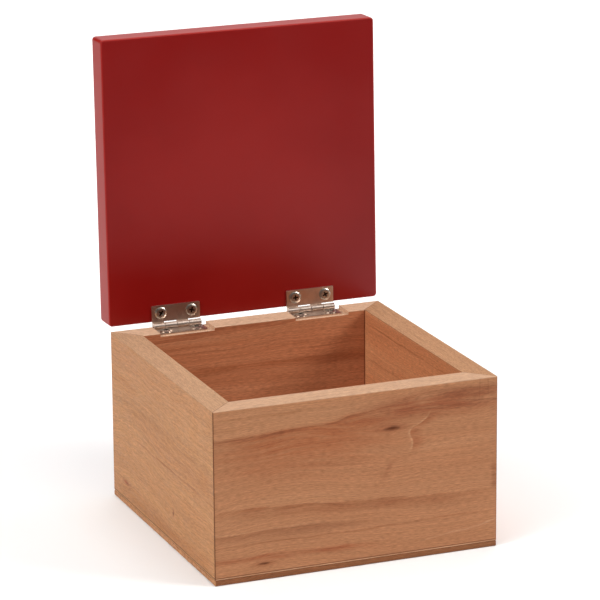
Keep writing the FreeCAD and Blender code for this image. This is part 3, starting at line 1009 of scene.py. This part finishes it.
@dataclass
class Carcass:
    """Four mitred walls on a thin base panel, in one wood from different boards.

    Attributes:
        half: from the middle to the walls' outer faces.
        height: height of the walls' top edges.
        wall: thickness of a wall.
        base: thickness of the base panel.
        rounding: radius of a worn edge.
        rounding_steps: number of steps that draw that round.
        mortise_floor: height of the hinge cuts' floors.
        mortises: ends of each hinge cut along the back wall.
        brad_share: a brad's place along a wall from its middle, as a share of the wall.
        brad_sunk: how far a brad's head is sunk in the base.
        boards: finish of each board.
        brad: the brad that fixes the base.
    """

    half: float = 72.0
    height: float = 85.0
    wall: float = 12.7
    base: float = 2.8
    rounding: float = 0.4
    rounding_steps: int = 3
    mortise_floor: float = 83.25
    mortises: tuple[Point, ...] = ((-50.3, -21.7), (21.7, 50.3))
    brad_share: float = 0.31
    brad_sunk: float = 0.2
    boards: dict[str, OiledAlder] = field(default_factory=lambda: {
        # Each top_highlight_and_fresh_tint is a painted highlight for that board's top edge, paler or greyer
        # as the edge catches light and sheen.
        "front": OiledAlder("oiled_alder_front", Grain.ALONG_X, (40.0, 0.0, 0.0), bands=0.3, lines=0.12,
                            tone_and_painted_light=(0.80, 0.82, 0.83), top_highlight_and_fresh_tint="#DEB493", streaks=FRONT_MARKS_AND_FOOT_HIGHLIGHT,
                            knots=(Knot(17.7, 66.0, 10.6, 2.4, 0.95), Knot(-47.3, 8.0, 8.6, 1.6, 0.85))),
        # Painted light: the right and back boards are made lighter so that their inner faces look lit; the
        # right board's darker top tint keeps its top edge as dark as the others.
        "right": OiledAlder("oiled_alder_right", Grain.ALONG_Y, (310.0, 40.0, 120.0), tone_and_painted_light=(1.28, 1.29, 1.26),
                            top_highlight_and_fresh_tint="#947054", top_highlight_and_fresh_share=0.85, streaks=RIGHT_MARKS),
        "back": OiledAlder("oiled_alder_back", Grain.ALONG_X, (700.0, 130.0, 260.0), tone_and_painted_light=(1.04, 0.94, 0.94),
                           top_highlight_and_fresh_tint="#D0B697", top_highlight_and_fresh_share=0.85, cut_depth=1.75, streaks=BACK_MARKS),
        "left": OiledAlder("oiled_alder_left", Grain.ALONG_Y, (1100.0, 220.0, 390.0), bands=0.35, lines=0.12,
                           tone_and_painted_light=(0.90, 0.96, 0.82), glue=0.95, top_highlight_and_fresh_tint="#C3ADA5", top_highlight_and_fresh_share=0.33,
                           streaks=LEFT_MARKS_AND_FOOT_HIGHLIGHT, knots=(Knot(-52.5, 12.4, 9.0, 1.8, 0.85, "#93401F"),
                                                      Knot(16.0, 18.3, 1.6, 2.6, 0.8))),
        "base": OiledAlder("oiled_alder_base", Grain.ALONG_X, (1500.0, 300.0, 530.0), pale="#B27750",
                           warm="#9B5B34", tone_and_painted_light=(0.60, 0.57, 0.54), glue=0.0, streaks=BASE_LIT_END),
    })
    brad: Brad = field(default_factory=lambda: Brad(
        "base_brads_driven",
        PlatedSteel("bright_brad_steel", "#B9B5AE", "#8A857C", (0.3, 0.45), (0.5, 0.5, 0.5)),
        {"Head Radius": 1.1, "Head Height": 0.6, "Shank Radius": 0.6, "Length": 14.0}))

    def build(self) -> None:
        """Builds the walls, dresses the base panel and drives the brads."""
        for turns, side in enumerate(("front", "right", "back", "left")):
            form = self.board(self.mortises if side == "back" else ())
            # The back wall is the front wall turned half round, so its mortises are mirrored with it.
            turn = Matrix.Rotation(turns * math.pi / 2, 4, "Z") @ Matrix.Translation((0.0, -self.half, 0.0))
            bmesh.ops.transform(form, matrix=turn, verts=form.verts)
            piece = finished(f"{side}_board", form, self.boards[side].material())
            seat(piece, Body.BOX, Slot.ALDER, f"{side}_wall")
        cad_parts["base_panel"].material_slots[0].material = self.boards["base"].material()
        log.info("base_panel: dressed where it stands")
        along, across = self.brad_share * 2 * self.half, self.half - self.wall / 2
        spots = [(x, y) for x in (-along, along) for y in (-across, across)]
        spots += [(y, x) for x, y in spots]
        down = Vector((0.0, 0.0, -1.0))
        brads = self.brad.build([(Vector((x, y, self.brad_sunk)), down, 0.0) for x, y in spots])
        seat(brads, Body.BOX, Slot.BRAD, "base_brads")

    def board(self, notches: Sequence[Point]) -> BMesh:
        """One wall, its outer face on y = 0, mitred at both ends.

        Args:
            notches: where the top edge is cut down for hinges, as places along the wall.

        Returns:
            The wall's form.
        """
        form = bmesh.new()
        outline = [(-self.half, self.height), (-self.half, self.base),
                   (self.half, self.base), (self.half, self.height)]
        for left, right in reversed(notches):
            outline += [(right, self.height), (right, self.mortise_floor), (left, self.mortise_floor),
                        (left, self.height)]
        rings = []
        for deep in (0.0, self.wall):
            places = [(x - math.copysign(deep, x) if abs(x) == self.half else x, deep, z) for x, z in outline]
            rings.append([form.verts.new(place) for place in places])
            form.faces.new(rings[-1])
        for i in range(len(outline)):
            form.faces.new((rings[0][i - 1], rings[0][i], rings[1][i], rings[1][i - 1]))
        bmesh.ops.recalc_face_normals(form, faces=form.faces)
        worn = [edge for edge in form.edges if self.is_worn(edge)]
        bmesh.ops.bevel(form, geom=worn, offset=self.rounding, segments=self.rounding_steps, profile=0.5,
                        affect="EDGES")
        return form

    def is_worn(self, edge: BMEdge) -> bool:
        """Whether sanding has rounded this edge of a wall.

        Args:
            edge: an edge of the wall's form.

        Returns:
            True for the long top edges, the lower outer edge and the outer uprights.
        """
        a, b = (vert.co for vert in edge.verts)
        level = abs(a.z - b.z) < MM
        outer = max(a.y, b.y) < MM
        top = level and abs(a.z - self.height) < MM and abs(a.y - b.y) < MM
        foot = level and abs(a.z - self.base) < MM and outer
        upright = outer and min(abs(a.x), abs(b.x)) > self.half - MM
        return top or foot or upright


@dataclass
class HingeLine:
    """The line that the lid turns about, and how far it stands open.

    Attributes:
        y: the line's place towards the back.
        z: its height.
        open_angle: how far the lid is swung open, in degrees.
    """

    y: float = 72.0
    z: float = 85.0
    open_angle: float = 91.4

    def opened(self) -> Matrix:
        """Swing from the shut lid to the lid as it stands."""
        axis = Matrix.Translation((0.0, self.y, self.z))
        return axis @ Matrix.Rotation(math.radians(-self.open_angle), 4, "X") @ axis.inverted()


@dataclass
class Lid:
    """Flat slab with softened corners and edges.

    Attributes:
        side: length of its sides.
        thickness: its thickness.
        setback: from the hinge line to its rear edge when it is shut.
        underside: height of its inner face when it is shut.
        corner: radius of its four corners.
        corner_steps: number of steps that draw a corner.
        outer_round: radius of the edges of its outer face.
        inner_round: radius of the edges of its inner face.
        edge_steps: number of steps that draw an edge.
        finish: its paint.
    """

    side: float = 144.0
    thickness: float = 13.4
    setback: float = 1.85
    underside: float = 86.75
    corner: float = 1.8
    corner_steps: int = 6
    outer_round: float = 1.1
    inner_round: float = 0.7
    edge_steps: int = 4
    finish: SatinRedPaint = SatinRedPaint()

    def build(self, line: HingeLine) -> None:
        """Builds the slab shut, rounds it and swings it open.

        Args:
            line: where the lid turns.
        """
        form = bmesh.new()
        middle = Vector((0.0, line.y - self.setback - self.side / 2, self.underside + self.thickness / 2))
        shape = Matrix.Translation(middle) @ Matrix.Diagonal((self.side, self.side, self.thickness, 1.0))
        bmesh.ops.create_cube(form, size=1.0, matrix=shape)
        uprights = [edge for edge in form.edges if abs(edge.verts[0].co.z - edge.verts[1].co.z) > self.corner]
        bmesh.ops.bevel(form, geom=uprights, offset=self.corner, segments=self.corner_steps, profile=0.5,
                        affect="EDGES")
        outside = self.underside + self.thickness
        for level, radius in ((outside, self.outer_round), (self.underside, self.inner_round)):
            rim = [edge for edge in form.edges if all(abs(vert.co.z - level) < MM for vert in edge.verts)]
            bmesh.ops.bevel(form, geom=rim, offset=radius, segments=self.edge_steps, profile=0.5,
                            affect="EDGES")
        bmesh.ops.transform(form, matrix=line.opened(), verts=form.verts)
        seat(finished("lid_slab", form, self.finish.material()), Body.LID, Slot.PAINT, "lid_panel")


@dataclass
class ButtHinges:
    """Two hinges, each of two leaves rolled round a pin, with two screws in each leaf.

    Attributes:
        centres: name of each hinge, and its middle along the back wall.
        length: length of a leaf along the pin.
        reach: from the pin's axis to a leaf's free edge.
        thickness: thickness of the sheet.
        offset: from the pin's axis to the face of a leaf that lies on the wood.
        notch: from the pin's axis to the edge of a leaf's flat between its knuckles.
        corner: radius of a leaf's free corners.
        edge_break: how far the flat's edges are broken.
        break_share: how far in a broken edge's middle lies, as a share of the break.
        knuckles: number of knuckles on a pin.
        knuckle_gap: gap between knuckles.
        barrel: outer radius of a knuckle.
        bore: inner radius of a knuckle.
        roll_gap: gap between a knuckle's lip and its own leaf.
        roll_start: angle round the pin at which a knuckle's outside begins to roll, in degrees.
        pin_radius: radius of the pin.
        pin_proud: how far the pin stands past the knuckles.
        hole_radius: radius of a screw hole.
        screw_spacing: distance between a leaf's two screws.
        screw_setback: from the pin's axis to the screws.
        arc_steps: number of steps that draw a round.
        turns: where each screw came to rest, as shares of a quarter turn.
        nickel: finish of the leaves and pins.
        zinc: finish of the screws.
    """

    centres: tuple[tuple[str, float], ...] = (("left", -37.0), ("right", 35.0))
    length: float = 25.4
    reach: float = 10.2
    thickness: float = 0.8
    offset: float = 1.75
    notch: float = 1.9
    corner: float = 0.5
    edge_break: float = 0.12
    break_share: float = 0.3
    knuckles: int = 4
    knuckle_gap: float = 0.3
    barrel: float = 1.6
    bore: float = 0.8
    roll_gap: float = 0.2
    roll_start: float = 96.0
    pin_radius: float = 0.75
    pin_proud: float = 0.35
    hole_radius: float = 1.2
    screw_spacing: float = 16.2
    screw_setback: float = 6.4
    arc_steps: int = 44
    turns: dict[str, tuple[float, ...]] = field(default_factory=lambda: {
        "box": (0.10, 0.35, 0.48, 0.72), "lid": (0.62, 0.85, 0.05, 0.27)})
    nickel: PlatedSteel = PlatedSteel(
        "nickel_plated_steel", "#DAC6B8", "#C6B0A0", (0.285, 0.36), (6.0, 0.3, 0.3))
    zinc: PlatedSteel = PlatedSteel(
        "zinc_plated_screw", "#CBC0B3", "#B0A497", (0.285, 0.38), (0.4, 0.4, 0.4))

    def build(self, line: HingeLine) -> None:
        """Builds the leaves, pins and screws of both hinges.

        Args:
            line: where the lid turns.
        """
        nickel = self.nickel.material()
        for body in Body:
            places, nodes = [], []
            shares = iter(self.turns[body.value])
            for side, centre in self.centres:
                move = Matrix.Translation((centre, line.y, line.z))
                if body is Body.LID:
                    move = line.opened() @ move
                face = 1 if body is Body.LID else -1
                form = self.leaf(face)
                bmesh.ops.transform(form, matrix=move, verts=form.verts)
                name = f"{side}_hinge_{body.value}_leaf"
                seat(finished(f"{name}_rolled", form, nickel), body, Slot.NICKEL, name)
                for end, x in (("left", -self.screw_spacing / 2), ("right", self.screw_spacing / 2)):
                    seat_point = Vector((x, -self.screw_setback, face * (self.offset - self.thickness)))
                    direction = move.to_3x3() @ Vector((0.0, 0.0, -face))
                    places.append((move @ seat_point, direction, next(shares) * math.pi / 2))
                    nodes.append(f"{side}_hinge_{body.value}_screw_{end}")
            seat(self.screw(body).build(places), body, Slot.ZINC, *nodes)
        for side, centre in self.centres:
            form = self.pin()
            bmesh.ops.translate(form, vec=(centre, line.y, line.z), verts=form.verts)
            piece = finished(f"{side}_hinge_pin_turned", form, nickel)
            seat(piece, Body.BOX, Slot.NICKEL, f"{side}_hinge_pin")

    def screw(self, body: Body) -> Screw:
        """The screw that holds one body's leaves.

        Args:
            body: the body that the leaves are on.

        Returns:
            The screw.
        """
        return Screw(f"{body.value}_leaf_screws", self.zinc, {
            "Head Radius": 3.0, "Head Height": 0.8, "Crown Radius": 1.9, "Head Fall": 0.35,
            "Recess Span": 4.0, "Recess Width": 1.0, "Recess Depth": 0.65,
            "Neck Radius": 0.95, "Neck Length": 2.2, "Core Radius": 0.8, "Core Length": 7.5,
            "Point Length": 2.1, "Point Overlap": 0.1, "Thread Pitch": 0.9, "Thread Rise": 0.35,
            "Weld Distance": 0.001})

    def leaf(self, face: int) -> BMesh:
        """One leaf drawn shut, its axis on X.

        Args:
            face: -1 for the box leaf and 1 for the lid leaf.

        Returns:
            The leaf's form.
        """
        form = bmesh.new()
        self.plate(form)
        pitch = self.length / self.knuckles
        for index in range(0 if face > 0 else 1, self.knuckles, 2):
            start = -self.length / 2 + index * pitch + self.knuckle_gap / 2
            self.knuckle(form, start, start + pitch - self.knuckle_gap)
        bmesh.ops.scale(form, vec=(1.0, 1.0, face), verts=form.verts)
        return form

    def outline(self, inset: float) -> list[Point]:
        """Plan of the leaf's flat with rounded free corners.

        Args:
            inset: how far the outline is drawn in from the free edges.

        Returns:
            The outline's points, from the knuckle side round the free edge and back.
        """
        half, radius = self.length / 2, self.corner - inset
        points = [(-half + inset, -self.notch)]
        for side, first in ((-1, 180), (1, 270)):
            middle = (side * (half - self.corner), self.corner - self.reach)
            for angle in (math.radians(first + step) for step in (0, 30, 60, 90)):
                points.append((middle[0] + radius * math.cos(angle), middle[1] + radius * math.sin(angle)))
        return [*points, (half - inset, -self.notch)]

    def circle(self, x: float, y: float, radius: float) -> list[Point]:
        """Points round a circle in plan."""
        angles = [2 * math.pi * step / self.arc_steps for step in range(self.arc_steps)]
        return [(x + radius * math.cos(angle), y + radius * math.sin(angle)) for angle in angles]

    def plate(self, form: BMesh) -> None:
        """Adds the flat of the leaf, with broken edges and two screw holes.

        Args:
            form: the form that takes it.
        """
        face, broken = self.offset - self.thickness, self.edge_break
        rounded = self.break_share * broken
        steps = ((0.0, self.offset), (0.0, face + broken), (rounded, face + rounded), (broken, face))
        traces = [[self.outline(inset) for inset, _ in steps]]
        for x in (-self.screw_spacing / 2, self.screw_spacing / 2):
            radii = (self.hole_radius + inset for inset, _ in steps)
            traces.append([self.circle(x, -self.screw_setback, radius) for radius in radii])
        rims = ([], [])
        for trace in traces:
            rings = [[form.verts.new((x, y, level)) for x, y in points]
                     for points, (_, level) in zip(trace, steps)]
            for low, high in zip(rings, rings[1:]):
                for i in range(len(low)):
                    form.faces.new((low[i - 1], low[i], high[i], high[i - 1]))
            for rim, ring in zip(rims, (rings[0], rings[-1])):
                rim += [form.edges.get((ring[i - 1], ring[i])) for i in range(len(ring))]
        for rim in rims:
            bmesh.ops.triangle_fill(form, use_beauty=True, use_dissolve=False, edges=rim)

    def knuckle(self, form: BMesh, start: float, end: float) -> None:
        """Adds one knuckle: a tongue of the leaf curled round the pin and stopped short of itself.

        Args:
            form: the form that takes it.
            start: where it begins along the pin.
            end: where it ends.
        """
        face = self.offset - self.thickness
        lip = face - self.roll_gap
        profile = [(-self.notch, self.offset)]
        for radius, first, last in (
                (self.barrel, math.radians(self.roll_start), -math.pi - math.asin(lip / self.barrel)),
                (self.bore, -math.pi - math.asin(lip / self.bore), math.pi / 2)):
            for step in range(self.arc_steps + 1):
                angle = first + (last - first) * step / self.arc_steps
                profile.append((radius * math.cos(angle), radius * math.sin(angle)))
        profile += [(0.0, face), (-self.notch, face)]
        rings = [[form.verts.new((x, y, z)) for y, z in profile] for x in (start, end)]
        for i in range(len(profile)):
            form.faces.new((rings[0][i - 1], rings[0][i], rings[1][i], rings[1][i - 1]))
        for ring in rings:
            form.faces.new(ring)

    def pin(self) -> BMesh:
        """Pin along X with rounded ends, a little proud of the knuckles.

        Returns:
            The pin's form.
        """
        form = bmesh.new()
        half = self.length / 2 + self.pin_proud
        profile = [(-half, 0.0)]
        for angle in (math.radians(degrees) for degrees in (22, 45, 68, 90)):
            inward = self.pin_proud * (1 - math.cos(angle))
            profile.append((-half + inward, self.pin_radius * math.sin(angle)))
        profile += [(-x, radius) for x, radius in reversed(profile)]
        rings = [[form.verts.new((x, y, z)) for y, z in self.circle(0.0, 0.0, radius)]
                 for x, radius in profile]
        for low, high in zip(rings, rings[1:]):
            for i in range(self.arc_steps):
                form.faces.new((low[i - 1], low[i], high[i], high[i - 1]))
        bmesh.ops.remove_doubles(form, verts=form.verts, dist=MM)
        return form


@dataclass(frozen=True)
class Softbox:
    """One square soft light.

    Attributes:
        name: the light's name.
        place: where it hangs, in metres.
        aim: the point that it faces, in metres.
        side: length of its side, in metres.
        power: its power, in watts.
        spread: how wide its light fans out, in degrees.
    """

    name: str
    place: Size
    aim: Size
    side: float
    power: float
    spread: float = 180.0

    def hang(self) -> None:
        """Hangs the light in the scene."""
        data = bpy.data.lights.new(self.name, "AREA")
        data.size, data.spread, data.energy = self.side, math.radians(self.spread), self.power
        made = bpy.data.objects.new(self.name, data)
        bpy.context.scene.collection.objects.link(made)
        turn = (Vector(self.aim) - Vector(self.place)).to_track_quat("-Z", "Y").to_matrix().to_4x4()
        made.matrix_world = Matrix.Translation(self.place) @ turn


@dataclass
class Studio:
    """Camera at the photograph's angle, a pale table and soft lights.

    Attributes:
        azimuth: the camera's turn round the object from straight ahead, in degrees.
        elevation: the camera's height angle, in degrees.
        roll: the camera's tilt about its own axis, in degrees.
        distance: from the camera to the point that it faces, in millimetres.
        aim: that point, in millimetres.
        lens: focal length, in millimetres.
        sensor: width of the sensor, in millimetres.
        backdrop: brightness of the white wall that the camera sees past the table.
        surroundings: brightness of the room that lights the object.
        table: near left and far right corners of the table, in millimetres.
        table_drop: how far the table lies under the base, in millimetres.
        softboxes: the lights.
    """

    azimuth: float = -21.770
    elevation: float = 15.714
    roll: float = -0.460
    distance: float = 1691.635
    aim: Size = (0.391, 0.0, 111.854)
    lens: float = 210.557
    sensor: float = 36.0
    backdrop: float = 1.0
    surroundings: float = 0.05
    table: tuple[Point, Point] = ((-2600.0, -620.0), (2600.0, 2600.0))
    table_drop: float = 0.1
    softboxes: tuple[Softbox, ...] = (
        Softbox("left_softbox", (-1.3, -0.3, 0.95), (0.0, 0.0, 0.08), 0.9, 11.5),
        Softbox("left_high_softbox", (-1.0, -0.5, 1.4), (0.0, 0.0, 0.08), 0.9, 6.5),
        Softbox("right_softbox", (1.3, -0.9, 1.1), (0.0, 0.0, 0.08), 0.7, 21.0),
        Softbox("front_softbox", (0.0, -0.7, 1.6), (0.0, 0.0, 0.08), 1.2, 6.6),
        Softbox("overhead_softbox", (0.0, -0.1, 1.6), (0.0, -0.1, 0.0), 1.2, 3.1),
        Softbox("background_softbox", (0.2, 1.15, 1.3), (0.2, 1.15, 0.0), 1.8, 9.0, 80.0),
        Softbox("backdrop_softbox", (0.9, 2.3, 1.15), (0.0, 0.0, 0.2), 2.2, 15.0),
    )

    def build(self) -> None:
        """Sets up the camera, the table and the lights."""
        self.camera()
        self.lay_table()
        self.light()

    def camera(self) -> None:
        """Places the camera by angle, distance and roll."""
        a, e, r = (math.radians(value) for value in (self.azimuth, self.elevation, self.roll))
        back = Vector((math.sin(a) * math.cos(e), -math.cos(a) * math.cos(e), math.sin(e)))
        right = Vector((0.0, 0.0, 1.0)).cross(back).normalized()
        up = back.cross(right)
        across = right * math.cos(r) + up * math.sin(r)
        upward = up * math.cos(r) - right * math.sin(r)
        data = bpy.data.cameras.new("camera")
        data.lens, data.sensor_width = self.lens, self.sensor
        made = bpy.data.objects.new("camera", data)
        bpy.context.scene.collection.objects.link(made)
        place = (Vector(self.aim) + back * self.distance) * MM
        made.matrix_world = Matrix.Translation(place) @ Matrix((across, upward, back)).transposed().to_4x4()
        bpy.context.scene.camera = made

    def lay_table(self) -> None:
        """Lays a white card table just under the base."""
        form = bmesh.new()
        (left, front), (right, rear) = self.table
        corners = ((left, front), (right, front), (right, rear), (left, rear))
        form.faces.new([form.verts.new((x, y, -self.table_drop)) for x, y in corners])
        # White card: even, matt, with a trace of uneven colour.
        made, tree, shader = start_material("white_card")
        spot = add(tree, "ShaderNodeTexCoord").outputs["Object"]
        where = add(tree, "ShaderNodeMapping", {0: spot, "Scale": (1 / MM,) * 3})
        uneven = Patches((400.0, 400.0, 400.0)).spread(tree, where)
        wires = {0: uneven, 6: linear("#F8F8F8"), 7: linear("#FAFAF9")}
        colour = add(tree, "ShaderNodeMix", wires, data_type="RGBA")
        tree.links.new(colour.outputs[2], shader.inputs["Base Color"])
        shader.inputs["Roughness"].default_value = 0.9
        finished("white_table", form, made)

    def light(self) -> None:
        """Hangs the softboxes and sets the dim room with its white backdrop."""
        scene = bpy.context.scene
        scene.view_settings.view_transform = "Standard"
        world = bpy.data.worlds.new("dim_room")
        world.use_nodes = True
        tree = world.node_tree
        sky = tree.nodes["Background"]
        sky.inputs["Color"].default_value = (1.0, 1.0, 1.0, 1.0)
        seen = add(tree, "ShaderNodeLightPath").outputs["Is Camera Ray"]
        wires = {"Value": seen, "To Min": self.surroundings, "To Max": self.backdrop}
        tree.links.new(add(tree, "ShaderNodeMapRange", wires).outputs[0], sky.inputs["Strength"])
        scene.world = world
        for softbox in self.softboxes:
            softbox.hang()


def main() -> None:
    """Builds every sub-assembly in order, logging each piece's face count as it is seated."""
    logging.basicConfig(level=logging.INFO, format="%(name)s: %(message)s")
    line = HingeLine()
    Carcass().build()
    Lid().build(line)
    ButtHinges().build(line)
    Studio().build()


if __name__ == "__main__":
    main()
